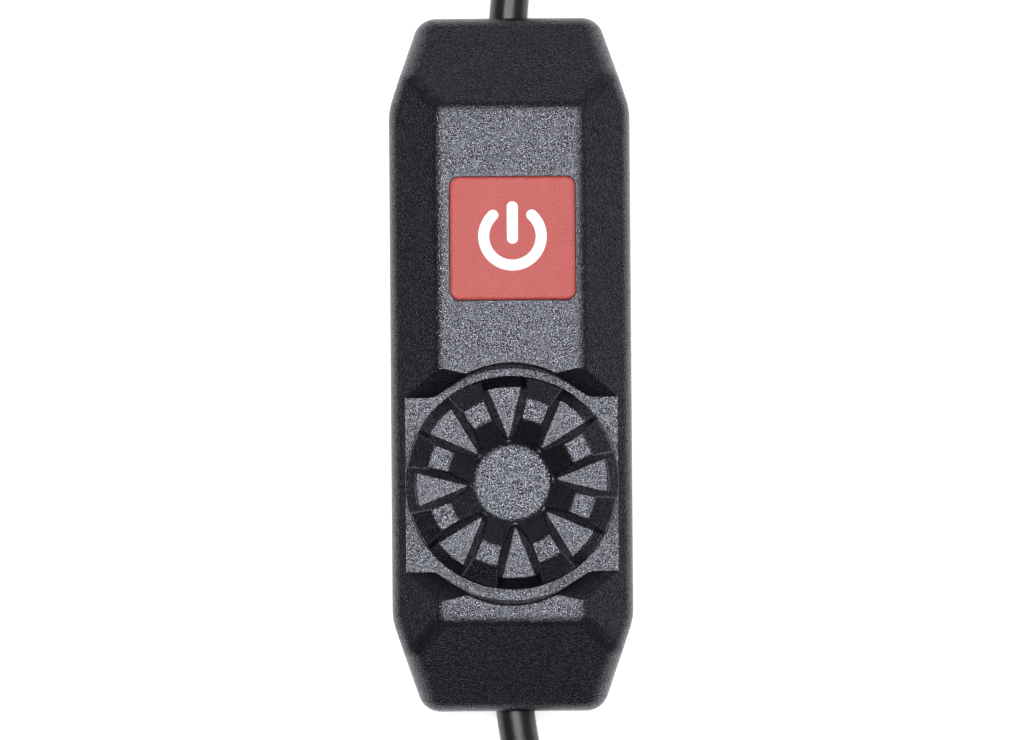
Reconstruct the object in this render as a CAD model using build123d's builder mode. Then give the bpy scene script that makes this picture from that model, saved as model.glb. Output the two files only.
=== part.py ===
from build123d import *
from math import cos, hypot, pi, radians, sin, tan
import os

os.makedirs("parts", exist_ok=True)

# An inline dimmer for low-voltage lights, lying on its back. Millimetres.
# X is to the right, Y points to the end with the push button, Z is up.
# The origin is the centre of the underside.

# Housing
body_length = 100.0
body_width = 34.7
body_height = 20.0
end_width = 25.7
end_taper_length = 13.3
end_corner_radius = 3.3
side_corner_radius = 9.0
plateau_width = 20.6
plateau_length = 74.0
side_wall_height = 14.9
end_wall_height = 10.7
wall = 2.0
roof_edge_radius = 3.0
eave_radius = 3.0
bottom_edge_radius = 1.6
parting_height = 5.8
lip_height = 1.0
lip_play = 0.05

half_length = body_length / 2
half_width = body_width / 2
half_plateau = plateau_width / 2
taper_start = half_length - end_taper_length
plateau_end = plateau_length / 2
floor_top = wall
ceiling = body_height - wall
side_slope = (body_height - side_wall_height) / (half_width - half_plateau)

# Well of the dial: a flat deck across the housing, and a round wall
well_y = -17.35
deck_height = 16.4
deck_half_length = 12.5
deck_wall_run_middle = 2.4
deck_wall_run_side = 6.2
well_radius = 16.65
well_draft = 9.5
well_foot_rounding = 2.6
well_notch_rounding = 0.8
well_head_room = 1.0
well_rim_radius = 0.4
deck_boss_radius = 7.6
deck_boss_depth = 1.8

# Dial
knob_y = -17.1
knob_radius = 15.35
knob_turn = 4.0
knob_gap = 0.3
skirt_height = 0.5
skirt_rounding = 0.25
skirt_step_radius = 14.0
skirt_step_drop = 0.5
skirt_step_rounding = 0.4
pocket_floor_rise = 2.0
pocket_count = 8
pocket_apex_radius = 6.3
pocket_apex_rounding = 0.15
pocket_half_angle = 18.0
pocket_draft = 16.2
pocket_overrun = 2.0
disc_radius = 5.4
disc_rise = 3.3
crown_rise = 5.8
crown_inner_radius = 9.25
crown_outer_radius = 12.2
crown_rim_radius = 15.15
crown_rim_rise = 3.9
crown_edge_radius = 0.35
crown_roll_radius = 1.2
disc_foot_radius = 1.5
hub_radius = 4.6
hub_play = 0.05
hub_drop = 3.7
recess_inner_radius = 6.2
recess_outer_radius = 13.2
recess_depth = 0.9

knob_base = deck_height + knob_gap
pocket_floor = knob_base + pocket_floor_rise
hub_bottom = knob_base - hub_drop
crown_top = knob_base + crown_rise

# Shaft, its seal and the potentiometer
shaft_radius = 3.0
shaft_flat = 1.5
shaft_top_skin = 0.9
shaft_play = 0.05
seal_section = 1.5
seal_squeeze = 0.05
pot_width = 9.8
pot_length = 11.2
pot_height = 5.0
collar_radius = 4.2
collar_height = 0.6
pot_floor = 0.5
pot_corner = 0.5

# Push button
button_x = 0.35
button_y = 17.95
button_width = 18.0
button_length = 17.7
button_corner_radius = 1.3
button_proud = 0.8
button_edge_radius = 0.5
button_gap = 0.1
button_wall = 1.8
button_skin = 1.8
button_travel = 0.7
button_lip_width = 15.0
button_lip_length = 1.5
button_lip_height = 1.0
button_lip_gap = 0.1
stem_radius = 2.2

button_top = body_height + button_proud
button_bottom = ceiling - button_lip_gap - button_lip_height

# Power symbol, moulded into the button
symbol_offset = 0.26
symbol_ring_radius = 4.92
symbol_ring_bore = 3.34
symbol_gap_angle = 42.5
symbol_bar_width = 1.6
symbol_bar_length = 6.1
symbol_bar_offset = 2.24
symbol_depth = 0.5

# Tact switch
switch_size = 6.0
switch_height = 3.6
plunger_radius = 1.75
plunger_play = 0.1
plunger_length = 4.7
switch_well = 1.5

# Circuit board and what stands on it, between the pillars of the housing screws
screw_setback = 15.0
boss_radius = 3.0
board_width = 26.0
board_end_gap = 2.0
board_thickness = 1.6
board_bottom = 5.2
board_corner_radius = 1.5
board_screw_x = 10.5
board_screw_inset = 4.0
post_radius = 2.2
board_screw_radius = 1.0
board_screw_length = 4.4
board_head_radius = 1.9
board_head_height = 1.3
screw_play = 0.1

screw_y = half_length - screw_setback
board_length = 2 * (screw_y - boss_radius - board_end_gap)
board_screw_y = board_length / 2 - board_screw_inset
board_top = board_bottom + board_thickness
plunger_bottom = board_top + switch_height - switch_well + button_travel + plunger_play
plunger_top = plunger_bottom + plunger_length

capacitor_x = 7.2
capacitor_y = 5.5
capacitor_radius = 4.0
capacitor_height = 8.5
capacitor_edge_radius = 0.5
coil_x = -7.0
coil_y = 5.5
coil_radius = 4.6
coil_bore = 2.0
coil_height = 4.2
coil_edge_radius = 1.1
transistor_x = -7.0
transistor_y = -4.0
transistor_width = 6.6
transistor_length = 6.2
transistor_height = 2.3
transistor_pin_spacing = 4.6
transistor_pin_width = 0.9
chip_x = 7.0
chip_y = -4.0
chip_width = 3.9
chip_length = 4.9
chip_height = 1.5
led_x = 6.5
led_width = 2.0
led_length = 3.2
led_height = 1.0
pin_width = 0.45
pin_reach = 1.1
pin_height = 0.5
pin_pitch = 1.27
tab_width = 5.2
tab_reach = 1.4
tab_height = 0.5

# Housing screws, driven from below
screw_x = 11.2
boss_top_skin = 0.5
housing_screw_radius = 1.25
housing_screw_tip = 12.0
head_radius = 2.3
head_height = 1.5
head_recess = 1.8
head_play = 0.15
drive_radius = 0.9
drive_depth = 0.7

# Leads, their grommets and clamps
cord_radius = 2.775
cord_play = 0.02
cord_floor_play = 0.025
cord_outlet_inset = 2.4
bend_share = 0.45
cord_height = parting_height
grommet_radius = 3.4
grommet_flange_radius = 3.78
grommet_flange_length = 1.5
grommet_recess = 0.1
clamp_setback = 7.0
clamp_length = 3.0
clamp_band = 1.2
clamp_foot_x = 5.9
clamp_foot_radius = 2.0
clamp_screw_radius = 0.9
clamp_screw_length = 4.0
clamp_head_radius = 1.6
clamp_head_height = 1.1
core_radius = 0.75
core_spread = 1.2
core_play = 0.08
core_landing_play = 0.02
strip_length = 10.5
clamp_y = half_length - clamp_setback

# Connectors at the far ends
plug_radius = 5.0
plug_length = 24.0
relief_radius = 3.5
relief_end_radius = 4.5
relief_length = 9.0
barrel_radius = 2.75
barrel_bore = 1.05
barrel_length = 9.5
barrel_root = 6.0
barrel_root_radius = 3.2
barrel_wall = 1.0
barrel_core_setback = 0.3
plug_shoulder = 1.5
plug_end_chamfer = 0.6
socket_radius = 5.4
socket_length = 27.0
socket_bore = 2.95
socket_depth = 9.8
socket_pin_radius = 1.0
socket_pin_back = 5.0
socket_sleeve_wall = 0.25
socket_pin_setback = 0.8
socket_pin_rounding = 0.45
floor_play = 0.05
plug_axis_height = plug_radius + floor_play
socket_axis_height = socket_radius + floor_play


def outline_points():
    """The housing's eight corners, seen from above."""
    end = end_width / 2
    right = [(end, -half_length), (half_width, -taper_start), (half_width, taper_start), (end, half_length)]
    return right + [(-x, -y) for x, y in right]


def plan_sketch(plane, inset):
    """The housing's rounded plan on a plane, moved inwards by inset."""
    with BuildSketch(plane) as plan:
        with BuildLine():
            Polyline(*outline_points(), close=True)
        make_face()
        ends = plan.vertices().filter_by(lambda v: abs(v.Y) > taper_start + 0.1)
        fillet(ends, radius=end_corner_radius)
        sides = plan.vertices().filter_by(lambda v: abs(v.X) > half_width - 0.01)
        sides = sides.filter_by(lambda v: abs(abs(v.Y) - taper_start) < 0.1)
        fillet(sides, radius=side_corner_radius)
        if inset:
            offset(amount=-inset)
    return plan.sketch


def roof_sketch(plane, reach, foot, ridge, eave, inset):
    """A gable with a flat top: the housing's section on an upright plane."""
    with BuildSketch(plane) as section:
        with BuildLine():
            Polyline(
                (-reach, foot), (reach, foot), (reach, eave), (ridge, body_height),
                (-ridge, body_height), (-reach, eave), close=True,
            )
        make_face()
        if inset:
            offset(amount=-inset)
    return section.sketch


def housing_form(inset):
    """The whole housing as a block, with every face moved inwards by inset."""
    with BuildPart() as form:
        extrude(plan_sketch(Plane.XY.offset(inset), inset), amount=body_height - 2 * inset)
        across = roof_sketch(Plane.XZ, half_width, 0, half_plateau, side_wall_height, inset)
        extrude(across, amount=body_length, both=True, mode=Mode.INTERSECT)
        along = roof_sketch(Plane.YZ, half_length, 0, plateau_end, end_wall_height, inset)
        extrude(along, amount=body_width, both=True, mode=Mode.INTERSECT)
    return form.part


def is_hip(edge):
    """An edge that slopes down from a corner of the flat top."""
    low, high = sorted((edge @ 0, edge @ 1), key=lambda p: p.Z)
    run = abs(high.X - low.X) + abs(high.Y - low.Y)
    return high.Z > body_height - 0.01 and high.Z - low.Z > 1 and run > 1


def is_eave(edge):
    """An edge where the upright walls meet the slopes."""
    height = (edge @ 0.5).Z
    upright = abs((edge % 0.5).Z) > 0.99
    return not upright and end_wall_height - 1 < height < body_height - 1


with BuildPart() as outer_form:
    add(housing_form(0))
    hips = outer_form.edges().filter_by(is_hip)
    fillet(hips + outer_form.faces().sort_by(Axis.Z)[-1].edges(), radius=roof_edge_radius)
    walls = outer_form.faces().filter_by(lambda f: abs(f.normal_at().Z) < 0.01)
    fillet(walls.edges().filter_by(is_eave), radius=eave_radius)
    fillet(outer_form.faces().sort_by(Axis.Z)[0].edges(), radius=bottom_edge_radius)

well_plane = Plane(origin=(0, well_y, 0))
knob_plane = Plane(origin=(0, knob_y, 0))
knob_section = Plane(origin=(0, knob_y, 0), x_dir=(1, 0, 0), z_dir=(0, -1, 0))
knob_axis = Axis((0, knob_y, 0), (0, 0, 1))
button_plane = Plane(origin=(button_x, button_y, 0))
well_depth = body_height - deck_height


def well_outline(height, margin, rounding):
    """The well's outline at a height: a circle, widened to a band across the housing."""
    rise = height - deck_height
    reach = half_width + margin + well_head_room
    radius = well_radius + margin + rise * tan(radians(well_draft))
    middle = deck_half_length + margin + rise * deck_wall_run_middle / well_depth
    side = deck_half_length + margin + rise * deck_wall_run_side / well_depth
    with BuildSketch(well_plane.offset(height)) as outline:
        Circle(radius)
        with BuildLine():
            Polyline(
                (-reach, -side), (0, -middle), (reach, -side), (reach, side), (0, middle),
                (-reach, side), close=True,
            )
        make_face()
        corners = outline.vertices().filter_by(lambda v: abs(v.X) < reach - well_head_room)
        fillet(corners, radius=rounding)
    return outline.sketch


def well_form(margin):
    """What is cut away above the deck, grown on all sides by margin."""
    with BuildPart() as form:
        bottom = well_outline(deck_height - margin, margin, well_foot_rounding)
        top = well_outline(body_height + well_head_room, margin, well_notch_rounding)
        loft([bottom, top], ruled=True)
    return form.part


with BuildPart() as cavity:
    add(housing_form(wall))
    add(well_form(wall), mode=Mode.SUBTRACT)

with BuildPart() as grommet_holes:
    with BuildSketch(Plane(origin=(0, 0, cord_height), x_dir=(1, 0, 0), z_dir=(0, 1, 0))):
        Circle(grommet_radius)
    extrude(amount=half_length + 1, both=True)
    inside = half_length - wall - grommet_flange_length
    with BuildSketch(Plane(origin=(0, 0, cord_height), x_dir=(1, 0, 0), z_dir=(0, 1, 0))):
        Circle(grommet_radius)
    extrude(amount=inside, both=True, mode=Mode.SUBTRACT)


def slope_height(x):
    """Height of the outer side slope at a distance x from the middle."""
    return body_height - max(0.0, abs(x) - half_plateau) * side_slope


screw_places = [(x, y) for x in (-screw_x, screw_x) for y in (-screw_y, screw_y)]
boss_top = slope_height(screw_x + boss_radius) - boss_top_skin
seal_radius = hub_radius + hub_play + seal_section / 2
seal_recess_radius = seal_radius + seal_section / 2 + seal_squeeze
seal_recess_depth = seal_section + seal_squeeze


def is_well_rim(edge):
    """An edge where the well breaks through the flat top."""
    middle = edge @ 0.5
    level = abs((edge @ 0).Z - body_height) < 0.01 and abs((edge @ 1).Z - body_height) < 0.01
    inside = abs(middle.X) < half_plateau and middle.Y < button_y - button_length / 2
    return level and inside and middle.Y > well_y - 2 * well_radius


with BuildPart() as upper_shell:
    add(outer_form.part)
    split(bisect_by=Plane.XY.offset(parting_height), keep=Keep.TOP)
    add(cavity.part, mode=Mode.SUBTRACT)
    add(well_form(0), mode=Mode.SUBTRACT)
    rim = upper_shell.edges().filter_by(is_well_rim)
    fillet(rim.filter_by(lambda e: e.length > half_plateau), radius=well_rim_radius)
    # four pillars for the housing screws
    with BuildSketch(Plane.XY.offset(parting_height)):
        with Locations(*screw_places):
            Circle(boss_radius)
    extrude(amount=boss_top - parting_height)
    # lip that drops into the lower shell
    lip = plan_sketch(Plane.XY.offset(parting_height - lip_height), wall / 2 + lip_play)
    lip -= plan_sketch(Plane.XY.offset(parting_height - lip_height), wall)
    extrude(lip, amount=lip_height)
    with BuildSketch(Plane.XY.offset(parting_height)):
        with Locations(*screw_places):
            Circle(housing_screw_radius)
    extrude(amount=housing_screw_tip - parting_height, mode=Mode.SUBTRACT)
    # bearing of the dial, with a seat for its seal
    with BuildSketch(knob_plane.offset(deck_height - wall)):
        Circle(deck_boss_radius)
    extrude(amount=-deck_boss_depth)
    with BuildSketch(knob_plane.offset(deck_height)):
        Circle(hub_radius + hub_play)
    extrude(amount=-wall - deck_boss_depth, mode=Mode.SUBTRACT)
    with BuildSketch(knob_plane.offset(deck_height)):
        Circle(seal_recess_radius)
    extrude(amount=-seal_recess_depth, mode=Mode.SUBTRACT)
    # opening of the push button
    with BuildSketch(button_plane.offset(button_bottom)):
        RectangleRounded(
            button_width + 2 * button_gap, button_length + 2 * button_gap,
            button_corner_radius + button_gap,
        )
    extrude(amount=body_height, mode=Mode.SUBTRACT)
    add(grommet_holes.part, mode=Mode.SUBTRACT)
upper_shell.part.label = "upper_shell"
export_step(upper_shell.part, "parts/upper_shell.step")


def corner_radii(points):
    """One radius for each bend of a lead, as large as its two runs allow."""
    radii = []
    for before, corner, after in zip(points, points[1:], points[2:]):
        first = Vector(*corner) - Vector(*before)
        second = Vector(*after) - Vector(*corner)
        turn = radians(first.get_angle(second))
        radii.append(bend_share * min(first.length, second.length) / tan(turn / 2))
    return radii


def tube(points, radius):
    """A round tube along straight runs joined by arcs."""
    with BuildPart() as made:
        with BuildLine() as path:
            FilletPolyline(*points, radius=corner_radii(points))
        with BuildSketch(Plane(origin=path.line @ 0, z_dir=path.line % 0)):
            Circle(radius)
        sweep()
    return made.part


# Routes of the two leads, from the stripped end inside to the connector
floor_line = cord_radius + cord_floor_play
cord_inner_end = half_length - strip_length
cord_outlet = half_length - cord_outlet_inset
input_route = [
    (0.0, cord_inner_end, cord_height),
    (-0.5, cord_outlet, cord_height),
    (1.4, 62.0, 5.3),
    (4.4, 84.0, 2.9),
    (1.0, 108.0, floor_line),
    (-2.6, 127.0, socket_axis_height),
    (-2.4, 142.0, socket_axis_height),
]
output_route = [
    (0.0, -cord_inner_end, cord_height),
    (-0.45, -cord_outlet, cord_height),
    (2.4, -62.0, 5.2),
    (4.3, -84.0, 2.9),
    (-1.4, -108.0, floor_line),
    (-3.2, -127.0, plug_axis_height),
    (-1.0, -142.0, plug_axis_height),
]
print("input lead radii", [round(r, 1) for r in corner_radii(input_route)])
print("output lead radii", [round(r, 1) for r in corner_radii(output_route)])

input_bore = tube(input_route[:4], cord_radius + cord_play)
output_bore = tube(output_route[:4], cord_radius + cord_play)

clamp_places = [(x, y) for x in (-clamp_foot_x, clamp_foot_x) for y in (-clamp_y, clamp_y)]
board_places = [(x, y) for x in (-board_screw_x, board_screw_x) for y in (-board_screw_y, board_screw_y)]

with BuildPart() as lower_shell:
    add(outer_form.part)
    split(bisect_by=Plane.XY.offset(parting_height), keep=Keep.BOTTOM)
    add(housing_form(wall), mode=Mode.SUBTRACT)
    rebate = plan_sketch(Plane.XY.offset(parting_height), wall / 2)
    rebate -= plan_sketch(Plane.XY.offset(parting_height), wall)
    extrude(rebate, amount=-lip_height - lip_play, mode=Mode.SUBTRACT)
    # pillars for the housing screws, the board and the cord clamps
    with BuildSketch(Plane.XY.offset(floor_top)):
        with Locations(*screw_places):
            Circle(boss_radius)
        with Locations(*clamp_places):
            Circle(clamp_foot_radius)
    extrude(amount=parting_height - floor_top)
    with BuildSketch(Plane.XY.offset(floor_top)):
        with Locations(*board_places):
            Circle(post_radius)
    extrude(amount=board_bottom - floor_top)
    # saddles under the leads
    with BuildSketch(Plane.XY.offset(floor_top)):
        with Locations((0, clamp_y), (0, -clamp_y)):
            Rectangle(2 * clamp_foot_x, clamp_length)
    extrude(amount=parting_height - floor_top)
    add(input_bore, mode=Mode.SUBTRACT)
    add(output_bore, mode=Mode.SUBTRACT)
    add(grommet_holes.part, mode=Mode.SUBTRACT)
    # screw holes
    with BuildSketch(Plane.XY.offset(parting_height)):
        with Locations(*clamp_places):
            Circle(clamp_screw_radius)
    extrude(amount=clamp_band - clamp_screw_length, mode=Mode.SUBTRACT)
    with BuildSketch(Plane.XY.offset(board_bottom)):
        with Locations(*board_places):
            Circle(board_screw_radius)
    extrude(amount=board_thickness - board_screw_length, mode=Mode.SUBTRACT)
    with BuildSketch(Plane.XY):
        with Locations(*screw_places):
            Circle(housing_screw_radius + screw_play)
    extrude(amount=parting_height, mode=Mode.SUBTRACT)
    with BuildSketch(Plane.XY):
        with Locations(*screw_places):
            Circle(head_radius + head_play)
    extrude(amount=head_recess, mode=Mode.SUBTRACT)
lower_shell.part.label = "lower_shell"
export_step(lower_shell.part, "parts/lower_shell.step")

with BuildPart() as housing_screws:
    with BuildSketch(Plane.XY.offset(head_recess)):
        with Locations(*screw_places):
            Circle(head_radius)
    extrude(amount=-head_height)
    with BuildSketch(Plane.XY.offset(head_recess)):
        with Locations(*screw_places):
            Circle(housing_screw_radius)
    extrude(amount=housing_screw_tip - head_recess)
    with BuildSketch(Plane.XY.offset(head_recess - head_height)):
        with Locations(*screw_places):
            RegularPolygon(drive_radius, 6)
    extrude(amount=drive_depth, mode=Mode.SUBTRACT)
housing_screws.part.label = "housing_screws"
export_step(housing_screws.part, "parts/housing_screws.step")

shaft_top = knob_base + disc_rise - shaft_top_skin


def shaft_profile(plane):
    """The round shaft's section, with its flat."""
    with BuildSketch(plane) as section:
        Circle(shaft_radius)
        with Locations((shaft_flat + shaft_radius, 0)):
            Rectangle(2 * shaft_radius, 2 * shaft_radius, mode=Mode.SUBTRACT)
    return section.sketch


def pocket_sketch(plane):
    """Wedges between the dial's fingers, each with its rounded point towards the middle."""
    reach = knob_radius + pocket_overrun
    spread = (reach - pocket_apex_radius) * tan(radians(pocket_half_angle))
    with BuildSketch(plane) as wedges:
        with PolarLocations(0, pocket_count, start_angle=90 + knob_turn):
            with BuildSketch(mode=Mode.PRIVATE) as pocket:
                with BuildLine():
                    Polyline((pocket_apex_radius, 0), (reach, -spread), (reach, spread), close=True)
                make_face()
                fillet(pocket.vertices().sort_by(Axis.X)[0], radius=pocket_apex_rounding)
            add(pocket.sketch)
    return wedges.sketch


def is_crown_edge(edge):
    """An edge round a finger's raised top, also its outer rim."""
    reaches = [hypot(p.X, p.Y - knob_y) for p in (edge @ 0, edge @ 0.5, edge @ 1)]
    ring = max(reaches) - min(reaches) < 0.01
    high = edge.center().Z > knob_base + disc_rise - crown_edge_radius
    return high and (not ring or min(reaches) > crown_rim_radius - 0.01)


# The dial: a dished crown cut into eight fingers by pockets, on a bevelled base
with BuildPart() as dimmer_knob:
    with BuildSketch(knob_section) as dish:
        with BuildLine():
            Polyline(
                (0, knob_base), (crown_rim_radius, knob_base),
                (crown_rim_radius, knob_base + crown_rim_rise),
                (crown_outer_radius, crown_top), (crown_inner_radius, crown_top),
                (disc_radius, knob_base + disc_rise), (0, knob_base + disc_rise), close=True,
            )
        make_face()
        fillet(dish.vertices().filter_by(lambda v: v.Y > crown_top - 0.01), radius=crown_roll_radius)
        fillet(dish.vertices().filter_by(lambda v: v.X == disc_radius), radius=disc_foot_radius)
    revolve(axis=knob_axis)
    pockets = pocket_sketch(knob_plane.offset(pocket_floor))
    extrude(pockets, amount=crown_rise, taper=-pocket_draft, mode=Mode.SUBTRACT)
    extrude(pockets, amount=skirt_height - pocket_floor_rise, mode=Mode.SUBTRACT)
    crown_edges = dimmer_knob.edges().filter_by(is_crown_edge)
    fillet(crown_edges, radius=crown_edge_radius)
    with BuildSketch(knob_section) as skirt:
        with BuildLine():
            Polyline(
                (0, knob_base), (knob_radius, knob_base), (knob_radius, knob_base + skirt_height),
                (skirt_step_radius, pocket_floor - skirt_step_drop), (skirt_step_radius, pocket_floor),
                (0, pocket_floor), close=True,
            )
        make_face()
        edge_corner = skirt.vertices().filter_by(lambda v: v.X == knob_radius and v.Y > knob_base)
        fillet(edge_corner, radius=skirt_rounding)
        step_corner = skirt.vertices().filter_by(lambda v: v.X > 1 and v.Y > pocket_floor - 0.01)
        fillet(step_corner, radius=skirt_step_rounding)
    revolve(axis=knob_axis)
    with BuildSketch(knob_plane.offset(knob_base)):
        Circle(recess_outer_radius)
        Circle(recess_inner_radius, mode=Mode.SUBTRACT)
    extrude(amount=recess_depth, mode=Mode.SUBTRACT)
    with BuildSketch(knob_plane.offset(hub_bottom)):
        Circle(hub_radius)
    extrude(amount=hub_drop)
    extrude(
        shaft_profile(knob_plane.offset(hub_bottom)), amount=shaft_top - hub_bottom, mode=Mode.SUBTRACT,
    )
dimmer_knob.part.label = "dimmer_knob"
export_step(dimmer_knob.part, "parts/dimmer_knob.step")

with BuildPart() as dimmer_shaft:
    with BuildSketch(knob_plane.offset(board_top + pot_floor)):
        Circle(shaft_radius)
    extrude(amount=hub_bottom - board_top - pot_floor)
    extrude(shaft_profile(knob_plane.offset(hub_bottom)), amount=shaft_top - hub_bottom)
dimmer_shaft.part.label = "dimmer_shaft"
export_step(dimmer_shaft.part, "parts/dimmer_shaft.step")

with BuildPart() as dimmer_pot_body:
    with BuildSketch(knob_plane.offset(board_top)):
        Rectangle(pot_width, pot_length)
    extrude(amount=pot_height)
    chamfer(dimmer_pot_body.edges().filter_by(Axis.Z), length=pot_corner)
    with BuildSketch(knob_plane.offset(board_top + pot_height)):
        Circle(collar_radius)
    extrude(amount=collar_height)
    with BuildSketch(knob_plane.offset(board_top + pot_floor)):
        Circle(shaft_radius + shaft_play)
    extrude(amount=pot_height + collar_height, mode=Mode.SUBTRACT)
dimmer_pot_body.part.label = "dimmer_pot_body"
export_step(dimmer_pot_body.part, "parts/dimmer_pot_body.step")

with BuildPart() as shaft_seal:
    seal_height = deck_height - seal_recess_depth + seal_section / 2
    with BuildSketch(knob_section):
        with Locations((seal_radius, seal_height)):
            Circle(seal_section / 2)
    revolve(axis=knob_axis)
shaft_seal.part.label = "shaft_seal"
export_step(shaft_seal.part, "parts/shaft_seal.step")


def power_sign(plane):
    """A broken ring with a bar in its gap, as a sketch on a plane."""
    middle = (symbol_ring_radius + symbol_ring_bore) / 2
    stroke = symbol_ring_radius - symbol_ring_bore
    with BuildSketch(plane) as sign:
        with BuildLine():
            CenterArc((0, symbol_offset), middle, 90 + symbol_gap_angle, 360 - 2 * symbol_gap_angle)
        trace(line_width=stroke)
        tips = [radians(90 + lean * symbol_gap_angle) for lean in (-1, 1)]
        with Locations(*[(middle * cos(tip), symbol_offset + middle * sin(tip)) for tip in tips]):
            Circle(stroke / 2)
        with Locations((0, symbol_bar_offset)):
            SlotOverall(symbol_bar_length, symbol_bar_width, rotation=90)
    return sign.sketch


with BuildPart() as power_symbol:
    extrude(power_sign(button_plane.offset(button_top - symbol_depth)), amount=symbol_depth)
power_symbol.part.label = "power_symbol"
export_step(power_symbol.part, "parts/power_symbol.step")

with BuildPart() as power_button:
    with BuildSketch(button_plane.offset(button_bottom)):
        RectangleRounded(button_width, button_length, button_corner_radius)
    extrude(amount=button_top - button_bottom)
    fillet(power_button.faces().sort_by(Axis.Z)[-1].edges(), radius=button_edge_radius)
    # two lips that hold it under the housing's wall
    with BuildSketch(button_plane.offset(button_bottom)):
        Rectangle(button_lip_width, button_length + 2 * button_lip_length)
    extrude(amount=button_lip_height)
    with BuildSketch(button_plane.offset(button_bottom)):
        RectangleRounded(
            button_width - 2 * button_wall, button_length - 2 * button_wall, button_corner_radius,
        )
    extrude(amount=button_top - button_skin - button_bottom, mode=Mode.SUBTRACT)
    # stem that presses the switch
    with BuildSketch(button_plane.offset(plunger_top)):
        Circle(stem_radius)
    extrude(amount=button_top - button_skin - plunger_top)
    extrude(power_sign(button_plane.offset(button_top)), amount=-symbol_depth, mode=Mode.SUBTRACT)
power_button.part.label = "power_button"
export_step(power_button.part, "parts/power_button.step")

with BuildPart() as tact_plunger:
    with BuildSketch(button_plane.offset(plunger_top)):
        Circle(plunger_radius)
    extrude(amount=-plunger_length)
tact_plunger.part.label = "tact_plunger"
export_step(tact_plunger.part, "parts/tact_plunger.step")

with BuildPart() as tact_switch:
    with BuildSketch(button_plane.offset(board_top)):
        Rectangle(switch_size, switch_size)
    extrude(amount=switch_height)
    with BuildSketch(button_plane.offset(board_top + switch_height)):
        Circle(plunger_radius + plunger_play)
    extrude(amount=-switch_well, mode=Mode.SUBTRACT)
    # feet on the board
    with BuildSketch(button_plane.offset(board_top)):
        with GridLocations(switch_size, switch_size / 2, 2, 2):
            Rectangle(2 * pin_reach, pin_width)
    extrude(amount=pin_height)
tact_switch.part.label = "tact_switch"
export_step(tact_switch.part, "parts/tact_switch.step")

with BuildPart() as circuit_board:
    with BuildSketch(Plane.XY.offset(board_bottom)):
        RectangleRounded(board_width, board_length, board_corner_radius)
        with Locations(*board_places):
            Circle(board_screw_radius + screw_play, mode=Mode.SUBTRACT)
    extrude(amount=board_thickness)
circuit_board.part.label = "circuit_board"
export_step(circuit_board.part, "parts/circuit_board.step")

with BuildPart() as board_screws:
    with BuildSketch(Plane.XY.offset(board_top)):
        with Locations(*board_places):
            Circle(board_head_radius)
    extrude(amount=board_head_height)
    with BuildSketch(Plane.XY.offset(board_top)):
        with Locations(*board_places):
            Circle(board_screw_radius)
    extrude(amount=-board_screw_length)
board_screws.part.label = "board_screws"
export_step(board_screws.part, "parts/board_screws.step")

with BuildPart() as storage_capacitor:
    with BuildSketch(Plane.XY.offset(board_top)):
        with Locations((capacitor_x, capacitor_y)):
            Circle(capacitor_radius)
    extrude(amount=capacitor_height)
    fillet(storage_capacitor.edges(), radius=capacitor_edge_radius)
storage_capacitor.part.label = "storage_capacitor"
export_step(storage_capacitor.part, "parts/storage_capacitor.step")

with BuildPart() as power_coil:
    with BuildSketch(Plane.XY.offset(board_top)):
        with Locations((coil_x, coil_y)):
            Circle(coil_radius)
            Circle(coil_bore, mode=Mode.SUBTRACT)
    extrude(amount=coil_height)
    fillet(power_coil.edges(), radius=coil_edge_radius)
power_coil.part.label = "power_coil"
export_step(power_coil.part, "parts/power_coil.step")

with BuildPart() as power_transistor:
    with BuildSketch(Plane.XY.offset(board_top)):
        with Locations((transistor_x, transistor_y)):
            Rectangle(transistor_width, transistor_length)
    extrude(amount=transistor_height)
    with BuildSketch(Plane.XY.offset(board_top)):
        with Locations((transistor_x, transistor_y + transistor_length / 2)):
            Rectangle(tab_width, 2 * tab_reach)
        with Locations((transistor_x, transistor_y - transistor_length / 2)):
            with GridLocations(transistor_pin_spacing, 0, 2, 1):
                Rectangle(transistor_pin_width, 2 * tab_reach)
    extrude(amount=tab_height)
power_transistor.part.label = "power_transistor"
export_step(power_transistor.part, "parts/power_transistor.step")

with BuildPart() as control_chip:
    with BuildSketch(Plane.XY.offset(board_top)):
        with Locations((chip_x, chip_y)):
            Rectangle(chip_width, chip_length)
    extrude(amount=chip_height)
    with BuildSketch(Plane.XY.offset(board_top)):
        with Locations((chip_x, chip_y)):
            with GridLocations(chip_width, pin_pitch, 2, 4):
                Rectangle(2 * pin_reach, pin_width)
    extrude(amount=pin_height)
control_chip.part.label = "control_chip"
export_step(control_chip.part, "parts/control_chip.step")

with BuildPart() as indicator_led:
    with BuildSketch(button_plane.offset(board_top)):
        with Locations((led_x, 0)):
            Rectangle(led_width, led_length)
    extrude(amount=led_height)
indicator_led.part.label = "indicator_led"
export_step(indicator_led.part, "parts/indicator_led.step")

ends = {"input": (1, input_route, input_bore), "output": (-1, output_route, output_bore)}

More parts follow.
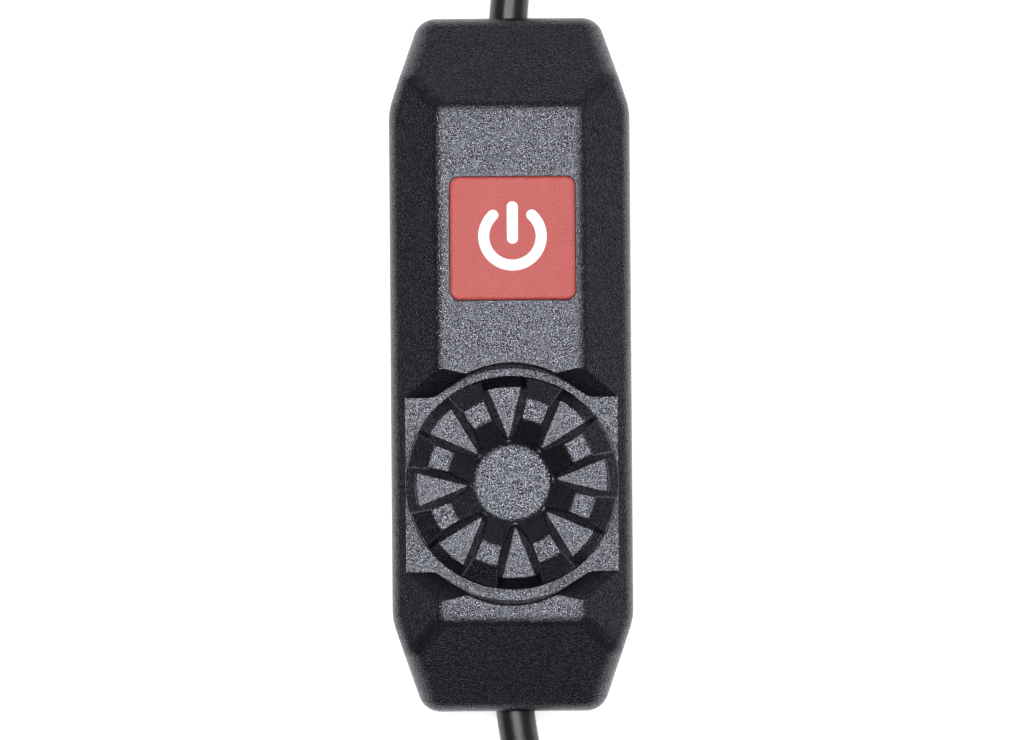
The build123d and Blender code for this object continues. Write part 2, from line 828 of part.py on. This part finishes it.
for end, (side, route, bore) in ends.items():
    outwards = Plane(origin=(0, side * half_length, cord_height), x_dir=(-side, 0, 0), z_dir=(0, side, 0))
    with BuildPart() as grommet:
        with BuildSketch(outwards.offset(-grommet_recess)):
            Circle(grommet_radius)
        extrude(amount=grommet_recess - wall)
        with BuildSketch(outwards.offset(-wall)):
            Circle(grommet_flange_radius)
        extrude(amount=-grommet_flange_length)
        add(bore, mode=Mode.SUBTRACT)
    grommet.part.label = f"{end}_grommet"
    export_step(grommet.part, f"parts/{end}_grommet.step")

    # strap over the lead, on two pillars
    with BuildPart() as clamp:
        with BuildSketch(outwards.offset(clamp_y - clamp_length / 2 - half_length)):
            Circle(cord_radius + clamp_band)
            Rectangle(4 * clamp_foot_x, clamp_foot_x, align=(Align.CENTER, Align.MAX), mode=Mode.SUBTRACT)
        extrude(amount=clamp_length)
        with BuildSketch(Plane.XY.offset(cord_height)):
            with Locations((0, side * clamp_y)):
                SlotCenterToCenter(2 * clamp_foot_x, 2 * clamp_foot_radius)
        extrude(amount=clamp_band)
        add(bore, mode=Mode.SUBTRACT)
        with BuildSketch(Plane.XY.offset(cord_height)):
            with Locations((-clamp_foot_x, side * clamp_y), (clamp_foot_x, side * clamp_y)):
                Circle(clamp_screw_radius)
        extrude(amount=clamp_band, mode=Mode.SUBTRACT)
    clamp.part.label = f"{end}_clamp"
    export_step(clamp.part, f"parts/{end}_clamp.step")

    cord = tube(route, cord_radius)
    cord.label = f"{end}_cord"
    export_step(cord, f"parts/{end}_cord.step")
    path_length = cord.volume / (pi * cord_radius ** 2)
    print(end, "lead length", round(path_length, 1))

    # two conductors from the jacket's end to the board
    for colour, lean in (("red", 1), ("black", -1)):
        landing = board_top + core_radius + core_landing_play
        core_bends = [
            (core_spread, core_play, cord_height), (core_spread, 2.5, cord_height),
            (2.6, 6.5, landing + 0.6), (3.2, 10.5, landing + 0.2), (3.0, 13.5, landing),
        ]
        core_route = [(lean * x, side * (cord_inner_end - y), z) for x, y, z in core_bends]
        core = tube(core_route, core_radius)
        core.label = f"{end}_core_{colour}"
        export_step(core, f"parts/{end}_core_{colour}.step")

with BuildPart() as clamp_screws:
    with BuildSketch(Plane.XY.offset(cord_height + clamp_band)):
        with Locations(*clamp_places):
            Circle(clamp_head_radius)
    extrude(amount=clamp_head_height)
    with BuildSketch(Plane.XY.offset(cord_height + clamp_band)):
        with Locations(*clamp_places):
            Circle(clamp_screw_radius)
    extrude(amount=-clamp_screw_length)
clamp_screws.part.label = "clamp_screws"
export_step(clamp_screws.part, "parts/clamp_screws.step")


def lead_end(route):
    """A level plane at a lead's far end, with its X along the lead."""
    along = Vector(*route[-1]) - Vector(*route[-2])
    return Plane(origin=route[-1], x_dir=along, z_dir=(0, 0, 1))


def turned(plane, points, mode=Mode.ADD):
    """A round solid about a lead's end, from points of distance and radius."""
    with BuildSketch(plane) as profile:
        with BuildLine():
            Polyline((points[0][0], 0), *points, (points[-1][0], 0), close=True)
        make_face()
    revolve(profile.sketch, axis=Axis(plane.origin, plane.x_dir), mode=mode)


plug_end = lead_end(output_route)
plug_tip = plug_length + barrel_length
barrel_start = plug_length - barrel_root
with BuildPart() as dc_plug_body:
    turned(plug_end, [
        (0, relief_radius), (relief_length, relief_end_radius),
        (relief_length + plug_shoulder, plug_radius), (plug_length - plug_end_chamfer, plug_radius),
        (plug_length, plug_radius - plug_end_chamfer),
    ])
    turned(plug_end, [(barrel_start, barrel_root_radius), (plug_length, barrel_root_radius)], Mode.SUBTRACT)
dc_plug_body.part.label = "dc_plug_body"
export_step(dc_plug_body.part, "parts/dc_plug_body.step")

with BuildPart() as dc_plug_barrel:
    turned(plug_end, [(barrel_start, barrel_root_radius), (plug_length, barrel_root_radius)])
    turned(plug_end, [(plug_length, barrel_radius), (plug_tip, barrel_radius)])
    inner = barrel_radius - barrel_wall
    turned(plug_end, [(barrel_start, inner), (plug_tip, inner)], Mode.SUBTRACT)
dc_plug_barrel.part.label = "dc_plug_barrel"
export_step(dc_plug_barrel.part, "parts/dc_plug_barrel.step")

with BuildPart() as dc_plug_core:
    core_tip = plug_tip - barrel_core_setback
    turned(plug_end, [(barrel_start, inner), (core_tip, inner)])
    turned(plug_end, [(plug_length, barrel_bore), (plug_tip, barrel_bore)], Mode.SUBTRACT)
dc_plug_core.part.label = "dc_plug_core"
export_step(dc_plug_core.part, "parts/dc_plug_core.step")

socket_end = lead_end(input_route)
socket_floor = socket_length - socket_depth
sleeve_radius = socket_bore + socket_sleeve_wall
with BuildPart() as dc_socket_body:
    turned(socket_end, [
        (0, relief_radius), (relief_length, relief_end_radius),
        (relief_length + plug_shoulder, socket_radius), (socket_length - plug_end_chamfer, socket_radius),
        (socket_length, socket_radius - plug_end_chamfer),
    ])
    turned(socket_end, [(socket_floor, sleeve_radius), (socket_length, sleeve_radius)], Mode.SUBTRACT)
    pin_root = socket_floor - socket_pin_back
    turned(socket_end, [(pin_root, socket_pin_radius), (socket_floor, socket_pin_radius)], Mode.SUBTRACT)
dc_socket_body.part.label = "dc_socket_body"
export_step(dc_socket_body.part, "parts/dc_socket_body.step")

with BuildPart() as dc_socket_sleeve:
    turned(socket_end, [(socket_floor, sleeve_radius), (socket_length, sleeve_radius)])
    turned(socket_end, [(socket_floor, socket_bore), (socket_length, socket_bore)], Mode.SUBTRACT)
dc_socket_sleeve.part.label = "dc_socket_sleeve"
export_step(dc_socket_sleeve.part, "parts/dc_socket_sleeve.step")

with BuildPart() as dc_socket_pin:
    pin_tip = socket_length - socket_pin_setback
    turned(socket_end, [(pin_root, socket_pin_radius), (pin_tip, socket_pin_radius)])
    pin_rim = dc_socket_pin.edges().sort_by(Axis(socket_end.origin, socket_end.x_dir))[-1]
    fillet(pin_rim, radius=socket_pin_rounding)
dc_socket_pin.part.label = "dc_socket_pin"
export_step(dc_socket_pin.part, "parts/dc_socket_pin.step")
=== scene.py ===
from math import pi, radians

import bpy
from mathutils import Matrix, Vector


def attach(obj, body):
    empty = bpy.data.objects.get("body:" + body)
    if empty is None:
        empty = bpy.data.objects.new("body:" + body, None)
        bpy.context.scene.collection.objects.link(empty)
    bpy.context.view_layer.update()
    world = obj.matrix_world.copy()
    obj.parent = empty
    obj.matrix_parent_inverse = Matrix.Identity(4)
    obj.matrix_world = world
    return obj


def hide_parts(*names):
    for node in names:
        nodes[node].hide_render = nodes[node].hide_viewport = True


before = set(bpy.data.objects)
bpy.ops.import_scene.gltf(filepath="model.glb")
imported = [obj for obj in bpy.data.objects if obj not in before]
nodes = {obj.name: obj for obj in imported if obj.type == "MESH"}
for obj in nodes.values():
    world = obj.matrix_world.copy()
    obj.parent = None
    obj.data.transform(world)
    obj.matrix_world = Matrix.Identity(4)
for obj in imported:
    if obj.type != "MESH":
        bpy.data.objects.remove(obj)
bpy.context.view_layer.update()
scene = bpy.context.scene
bpy.ops.object.select_all(action="DESELECT")
print("frame loaded:", len(nodes), "nodes")

millimetre = 0.001


# shader helpers
class Wire:
    # a shader socket that can be added, multiplied and so on
    def __init__(self, tree, socket):
        self.tree = tree
        self.socket = socket

    def maths(self, operation, first, second):
        return addNode(self.tree, "ShaderNodeMath", {"operation": operation}, slot_0=first, slot_1=second)

    def __add__(self, other):
        return self.maths("ADD", self, other)

    def __radd__(self, other):
        return self.maths("ADD", other, self)

    def __sub__(self, other):
        return self.maths("SUBTRACT", self, other)

    def __rsub__(self, other):
        return self.maths("SUBTRACT", other, self)

    def __mul__(self, other):
        return self.maths("MULTIPLY", self, other)

    def __rmul__(self, other):
        return self.maths("MULTIPLY", other, self)


def plug(tree, slot, value):
    if isinstance(value, Wire):
        tree.links.new(value.socket, slot)
    else:
        slot.default_value = value


def addNode(tree, kind, settings=None, **inputs):
    # settings first, then values or wires by socket name, with _ for a space, or by slot_ and a number;
    # "output" picks the socket that comes back
    made = tree.nodes.new(kind)
    output = 0
    for key, value in (settings or {}).items():
        if key == "output":
            output = value
        else:
            setattr(made, key, value)
    for key, value in inputs.items():
        name = key.replace("_", " ")
        slot = made.inputs[int(name[5:])] if name.startswith("slot ") else made.inputs[name]
        plug(tree, slot, value)
    return Wire(tree, made.outputs[output])


def newMaterial(name):
    material = bpy.data.materials.new(name)
    material.use_nodes = True
    tree = material.node_tree
    shader = tree.nodes["Principled BSDF"]
    return material, tree, shader


# camera: nearly straight above, leaning a little towards the dial's end
view = {
    "distance": 2.0,
    "frameWidth": 147.7 * millimetre,
    "frameHeight": 10 * millimetre,
    "target": Vector((0.137, -0.72, 6.0)) * millimetre,
    "tilt": 1.0,
    "roll": -0.44,
    "sensor": 36.0,
    "nearest": 0.05,
    "farthest": 30,
}
cameraData = bpy.data.cameras.new("camera")
cameraData.sensor_width = view["sensor"]
cameraData.lens = view["sensor"] * (view["distance"] - view["frameHeight"]) / view["frameWidth"]
cameraData.clip_start = view["nearest"]
cameraData.clip_end = view["farthest"]
camera = bpy.data.objects.new("camera", cameraData)
camera.rotation_euler = (radians(view["tilt"]), 0, radians(view["roll"]))
backward = camera.rotation_euler.to_matrix() @ Vector((0, 0, 1))
camera.location = view["target"] + backward * (view["distance"] - view["target"].z)
scene.collection.objects.link(camera)
scene.camera = camera
print("camera set")

# the two leads
leads = {
    "radius": 2.775 * millimetre,
    "length": 0.1035,
    "roundness": 10,
    "smoothness": 16,
    "inputPoints": [
        (0.0, 0.0395, 0.0058),
        (-0.0005, 0.0476, 0.0058),
        (0.0014, 0.062, 0.0053),
        (0.0044, 0.084, 0.0029),
        (0.001, 0.108, 0.0028),
        (-0.0026, 0.127, 0.00545),
        (-0.0024, 0.142, 0.00545),
    ],
    "outputPoints": [
        (0.0, -0.0395, 0.0058),
        (-0.00045, -0.0476, 0.0058),
        (0.0024, -0.062, 0.0052),
        (0.0043, -0.084, 0.0029),
        (-0.0014, -0.108, 0.0028),
        (-0.0032, -0.127, 0.00505),
        (-0.001, -0.142, 0.00505),
    ],
}


def makeLead(name, points):
    curve = bpy.data.curves.new(name, "CURVE")
    curve.dimensions = "3D"
    line = curve.splines.new("NURBS")
    line.points.add(len(points) - 1)
    for knot, place in zip(line.points, points):
        knot.co = (*place, 1)
    line.order_u = 3
    line.use_endpoint_u = True
    curve.resolution_u = leads["smoothness"]
    curve.bevel_depth = leads["radius"]
    curve.bevel_resolution = leads["roundness"]
    curve.use_fill_caps = True
    lead = bpy.data.objects.new(name, curve)
    scene.collection.objects.link(lead)
    return lead


inputLead = makeLead("inputLead", leads["inputPoints"])
outputLead = makeLead("outputLead", leads["outputPoints"])
print("leads laid")


# finishes
moulding = {
    "shellGrain": 0.165,
    "knobGrain": 0.175,
    "grainDepth": 0.045,
    "colour": (0.005, 0.005, 0.0066),
    "darkest": 0.6,
    "lightest": 1.4,
    "pitRange": (0.275, 0.475),
    # roughness, refraction and tint of the pits, then of the peaks
    "pits": (0.24, 1.33, (0.8, 0.82, 1.0, 1)),
    "peaks": (0.135, 1.93, (0.87, 0.885, 1.0, 1)),
}


def shaded(colour, share):
    return (*[min(1, part * share) for part in colour], 1)


def blend(tree, share, dark, light):
    # one colour into another by a share that changes over the surface
    return addNode(
        tree, "ShaderNodeMix", {"data_type": "RGBA", "output": 2}, slot_0=share, slot_6=dark, slot_7=light,
    )


def noise(tree, place, scale, detail, **others):
    return addNode(tree, "ShaderNodeTexNoise", None, Vector=place, Scale=scale, Detail=detail, **others)


def blackPlastic(name, grain):
    # coarse spark-eroded texture, moulded in black: its peaks shine, its pits do not
    material, tree, dull = newMaterial(name)
    place = addNode(tree, "ShaderNodeTexCoord", {"output": "Object"})
    perMetre = 1 / (grain * millimetre)
    fine = noise(tree, place, perMetre, 1.0, Roughness=0.6)
    pits = addNode(tree, "ShaderNodeTexVoronoi", None, Vector=place, Scale=perMetre * 0.8)
    wide = noise(tree, place, perMetre * 0.06, 3.0)
    low, high = moulding["pitRange"]
    peaks = addNode(tree, "ShaderNodeMapRange", None, Value=fine - pits * 0.25, From_Min=low, From_Max=high)
    darkest = shaded(moulding["colour"], moulding["darkest"])
    lightest = shaded(moulding["colour"], moulding["lightest"])
    tint = blend(tree, peaks * 0.8 + wide * 0.2, darkest, lightest)
    bump = addNode(
        tree, "ShaderNodeBump", None,
        Height=fine * 1.2 + pits * 0.7, Strength=1.0, Distance=moulding["grainDepth"] * millimetre,
    )
    bright = addNode(tree, "ShaderNodeBsdfPrincipled")
    for shader, level in ((dull, "pits"), (bright.socket.node, "peaks")):
        roughness, refraction, sheen = moulding[level]
        plug(tree, shader.inputs["Base Color"], tint)
        plug(tree, shader.inputs["Roughness"], roughness + wide * 0.06)
        shader.inputs["IOR"].default_value = refraction
        shader.inputs["Specular Tint"].default_value = sheen
        plug(tree, shader.inputs["Normal"], bump)
    mixed = addNode(
        tree, "ShaderNodeMixShader", None, slot_0=peaks, slot_1=Wire(tree, dull.outputs[0]), slot_2=bright,
    )
    plug(tree, tree.nodes["Material Output"].inputs["Surface"], mixed)
    return material


button = {
    "fineScale": 5000,
    "wideScale": 260,
    "darkRed": (0.42, 0.045, 0.038, 1),
    "lightRed": (0.59, 0.115, 0.105, 1),
    "grainDepth": 0.1,
}


def redPlastic():
    material, tree, shader = newMaterial("redButton")
    place = addNode(tree, "ShaderNodeTexCoord", {"output": "Object"})
    fine = noise(tree, place, button["fineScale"], 2.0)
    wide = noise(tree, place, button["wideScale"], 3.0)
    tint = blend(tree, fine * 2.4 + wide * 0.4 - 0.9, button["darkRed"], button["lightRed"])
    plug(tree, shader.inputs["Base Color"], tint)
    plug(tree, shader.inputs["Roughness"], 0.38 + fine * 0.12)
    bump = addNode(
        tree, "ShaderNodeBump", None, Height=fine, Strength=1.0, Distance=button["grainDepth"] * millimetre,
    )
    plug(tree, shader.inputs["Normal"], bump)
    return material


def plainFinish(name, colour, roughness, metallic=0.0, grain=0.2, depth=0.15):
    # an even finish with a faint grain
    material, tree, shader = newMaterial(name)
    place = addNode(tree, "ShaderNodeTexCoord", {"output": "Object"})
    fine = noise(tree, place, 1 / (grain * millimetre), 3.0)
    tint = blend(tree, fine, shaded(colour, 0.85), shaded(colour, 1.12))
    plug(tree, shader.inputs["Base Color"], tint)
    plug(tree, shader.inputs["Roughness"], roughness * 0.85 + fine * roughness * 0.3)
    shader.inputs["Metallic"].default_value = metallic
    bump = addNode(
        tree, "ShaderNodeBump", None, Height=fine, Strength=depth, Distance=grain * millimetre * 0.2,
    )
    plug(tree, shader.inputs["Normal"], bump)
    return material


shellFinish = blackPlastic("blackShell", moulding["shellGrain"])
knobFinish = blackPlastic("blackKnob", moulding["knobGrain"])
redFinish = redPlastic()
whiteFinish = plainFinish("whiteSymbol", (0.92, 0.92, 0.91), 0.4, grain=0.15, depth=0.1)
jacketFinish = plainFinish("leadJacket", (0.011, 0.0115, 0.014), 0.3, grain=0.3, depth=0.4)
rubberFinish = plainFinish("blackRubber", (0.02, 0.02, 0.022), 0.6, grain=0.2)
steelFinish = plainFinish("platedSteel", (0.6, 0.6, 0.61), 0.32, metallic=1.0, grain=0.3, depth=0.1)
nickelFinish = plainFinish("nickel", (0.78, 0.75, 0.7), 0.18, metallic=1.0, grain=0.4, depth=0.05)
connectorFinish = plainFinish("connectorPlastic", (0.021, 0.021, 0.023), 0.42, grain=0.12, depth=0.2)
boardFinish = plainFinish("boardGreen", (0.02, 0.17, 0.07), 0.3, grain=0.5)
componentFinish = plainFinish("componentBlack", (0.025, 0.025, 0.028), 0.5)
sleeveFinish = plainFinish("capacitorSleeve", (0.04, 0.05, 0.12), 0.28)
copperFinish = plainFinish("copperWire", (0.7, 0.3, 0.14), 0.3, metallic=1.0)
lensFinish = plainFinish("ledLens", (0.85, 0.85, 0.75), 0.2)
redWireFinish = plainFinish("redInsulation", (0.55, 0.02, 0.02), 0.35)
blackWireFinish = plainFinish("blackInsulation", (0.02, 0.02, 0.02), 0.35)
clampFinish = plainFinish("clampPlastic", (0.05, 0.05, 0.055), 0.5)
switchFinish = plainFinish("switchPlastic", (0.03, 0.03, 0.03), 0.45)
print("finishes mixed")

finishOf = {
    "upper_shell": shellFinish, "lower_shell": shellFinish, "dimmer_knob": knobFinish,
    "power_button": redFinish, "power_symbol": whiteFinish,
    "housing_screws": steelFinish, "board_screws": steelFinish, "clamp_screws": steelFinish,
    "dimmer_shaft": steelFinish, "dimmer_pot_body": steelFinish, "shaft_seal": rubberFinish,
    "tact_plunger": switchFinish, "tact_switch": switchFinish, "circuit_board": boardFinish,
    "power_transistor": componentFinish, "control_chip": componentFinish,
    "storage_capacitor": sleeveFinish, "power_coil": copperFinish, "indicator_led": lensFinish,
    "input_grommet": rubberFinish, "output_grommet": rubberFinish,
    "input_clamp": clampFinish, "output_clamp": clampFinish,
    "input_core_red": redWireFinish, "output_core_red": redWireFinish,
    "input_core_black": blackWireFinish, "output_core_black": blackWireFinish,
    "input_cord": jacketFinish, "output_cord": jacketFinish,
    "dc_socket_body": connectorFinish, "dc_socket_sleeve": nickelFinish, "dc_socket_pin": nickelFinish,
    "dc_plug_body": connectorFinish, "dc_plug_barrel": nickelFinish, "dc_plug_core": connectorFinish,
}
for name, finish in finishOf.items():
    nodes[name].data.materials.clear()
    nodes[name].data.materials.append(finish)

# smooth copies of the moulded pieces
smoothing = {"mergeDistance": 0.002 * millimetre, "sharpAngle": 32.0, "faceWeight": 100}


def smoothCopy(node, name, body):
    source = nodes[node]
    mesh = source.data.copy()
    piece = bpy.data.objects.new(name, mesh)
    scene.collection.objects.link(piece)
    bpy.ops.object.select_all(action="DESELECT")
    piece.select_set(True)
    bpy.context.view_layer.objects.active = piece
    bpy.ops.object.mode_set(mode="EDIT")
    bpy.ops.mesh.select_all(action="SELECT")
    bpy.ops.mesh.remove_doubles(threshold=smoothing["mergeDistance"])
    bpy.ops.object.mode_set(mode="OBJECT")
    if mesh.has_custom_normals:
        bpy.ops.mesh.customdata_custom_splitnormals_clear()
    bpy.ops.object.shade_smooth_by_angle(angle=radians(smoothing["sharpAngle"]))
    weighted = piece.modifiers.new("weighted", "WEIGHTED_NORMAL")
    weighted.keep_sharp = True
    weighted.weight = smoothing["faceWeight"]
    bpy.ops.object.modifier_apply(modifier="weighted")
    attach(piece, body)
    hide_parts(node)
    piece.select_set(False)
    return piece


mouldings = (
    ("upper_shell", "upperShell", "housing", "black_shell"),
    ("lower_shell", "lowerShell", "housing", "black_shell"),
    ("dimmer_knob", "dimmerKnob", "dial", "black_knob"),
    ("power_button", "powerButton", "button", "red_button"),
    ("dc_socket_body", "socketBody", "housing", "connector_plastic"),
    ("dc_plug_body", "plugBody", "housing", "connector_plastic"),
)
copies = {name: smoothCopy(node, name, body) for node, name, body, slot in mouldings}
print("mouldings smoothed")

socketPieces = [copies["socketBody"], nodes["dc_socket_sleeve"], nodes["dc_socket_pin"]]
plugPieces = [copies["plugBody"], nodes["dc_plug_barrel"], nodes["dc_plug_core"]]
for lead, cordNode, exitPoint, farEnd, carried in (
    (inputLead, "input_cord", (0, 0.05, 0.0058), "connector", socketPieces),
    (outputLead, "output_cord", (0, -0.05, 0.0058), "plug", plugPieces),
):
    lead.data.materials.append(jacketFinish)
    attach(lead, "housing")
    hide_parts(cordNode)

# floor, lamps and surroundings
studio = {
    "floorSize": 8.0,
    "floorDrop": 0.03 * millimetre,
    "floorColour": (0.86, 0.86, 0.86, 1),
    "floorRoughness": 0.9,
    "floorGloss": 0.1,
    "floorGlow": 0.65,
    "horizonBand": (0.3, 0.55),
    "horizonLevel": 0.27,
    "middleLevel": 0.09,
    "middleLean": 0.06,
    "leanRight": 0.09,
    "leanBack": 0.17,
    "lampHeight": 0.9,
    "lamps": [
        # name, across, along, width, length, level
        ("overheadLamp", 0.0, 0.02, 0.67, 0.7, 4.7),
        ("haloLamp", 0.03, 0.04, 1.15, 1.15, 0.55),
        ("leftLamp", -0.30, 0.055, 0.06, 0.06, 150.0),
        ("rightLamp", 0.35, 0.12, 0.04, 0.4, 16.0),
    ],
}
bpy.ops.mesh.primitive_plane_add(size=studio["floorSize"], location=(0, 0, -studio["floorDrop"]))
floor = bpy.context.object
floor.name = "floor"
floorMaterial, floorTree, floorShader = newMaterial("paleFloor")
floorShader.inputs["Base Color"].default_value = studio["floorColour"]
floorShader.inputs["Roughness"].default_value = studio["floorRoughness"]
floorShader.inputs["Specular IOR Level"].default_value = studio["floorGloss"]
toCamera, toGloss, toGlass = [
    addNode(floorTree, "ShaderNodeLightPath", {"output": name})
    for name in ("Is Camera Ray", "Is Glossy Ray", "Is Transmission Ray")
]
glow = (toCamera + toGloss + toGlass) * studio["floorGlow"]
floorShader.inputs["Emission Color"].default_value = (1, 1, 1, 1)
plug(floorTree, floorShader.inputs["Emission Strength"], glow)
floor.data.materials.append(floorMaterial)
floor.select_set(False)

for name, across, along, width, length, level in studio["lamps"]:
    lampData = bpy.data.lights.new(name, "AREA")
    lampData.shape = "ELLIPSE" if name in ("overheadLamp", "haloLamp") else "RECTANGLE"
    lampData.size = width
    lampData.size_y = length
    area = width * length * (pi / 4 if lampData.shape == "ELLIPSE" else 1)
    lampData.energy = level * pi * area
    lamp = bpy.data.objects.new(name, lampData)
    lamp.location = (across, along, studio["lampHeight"])
    lamp.rotation_euler = lamp.location.to_track_quat("Z", "Y").to_euler()
    lamp.visible_camera = False
    scene.collection.objects.link(lamp)

world = bpy.data.worlds.new("studio")
scene.world = world
world.use_nodes = True
sky = world.node_tree
background = sky.nodes["Background"]
direction = addNode(sky, "ShaderNodeTexCoord", {"output": "Generated"})
right, back, up = [
    addNode(sky, "ShaderNodeSeparateXYZ", {"output": axis}, Vector=direction) for axis in "XYZ"
]
lowest, highest = studio["horizonBand"]
low = addNode(
    sky, "ShaderNodeMapRange", None, Value=up, From_Min=lowest, From_Max=highest, To_Min=1.0, To_Max=0.0,
)
horizon = right * studio["leanRight"] + back * studio["leanBack"] + studio["horizonLevel"]
middle = right * studio["middleLean"] + studio["middleLevel"]
levels = low * horizon + (1.0 - low) * middle
seen = addNode(sky, "ShaderNodeLightPath", {"output": "Is Camera Ray"})
shade = blend(sky, seen, levels, (1, 1, 1, 1))
plug(sky, background.inputs["Color"], shade)
scene.view_settings.view_transform = "Standard"
print("studio lit")
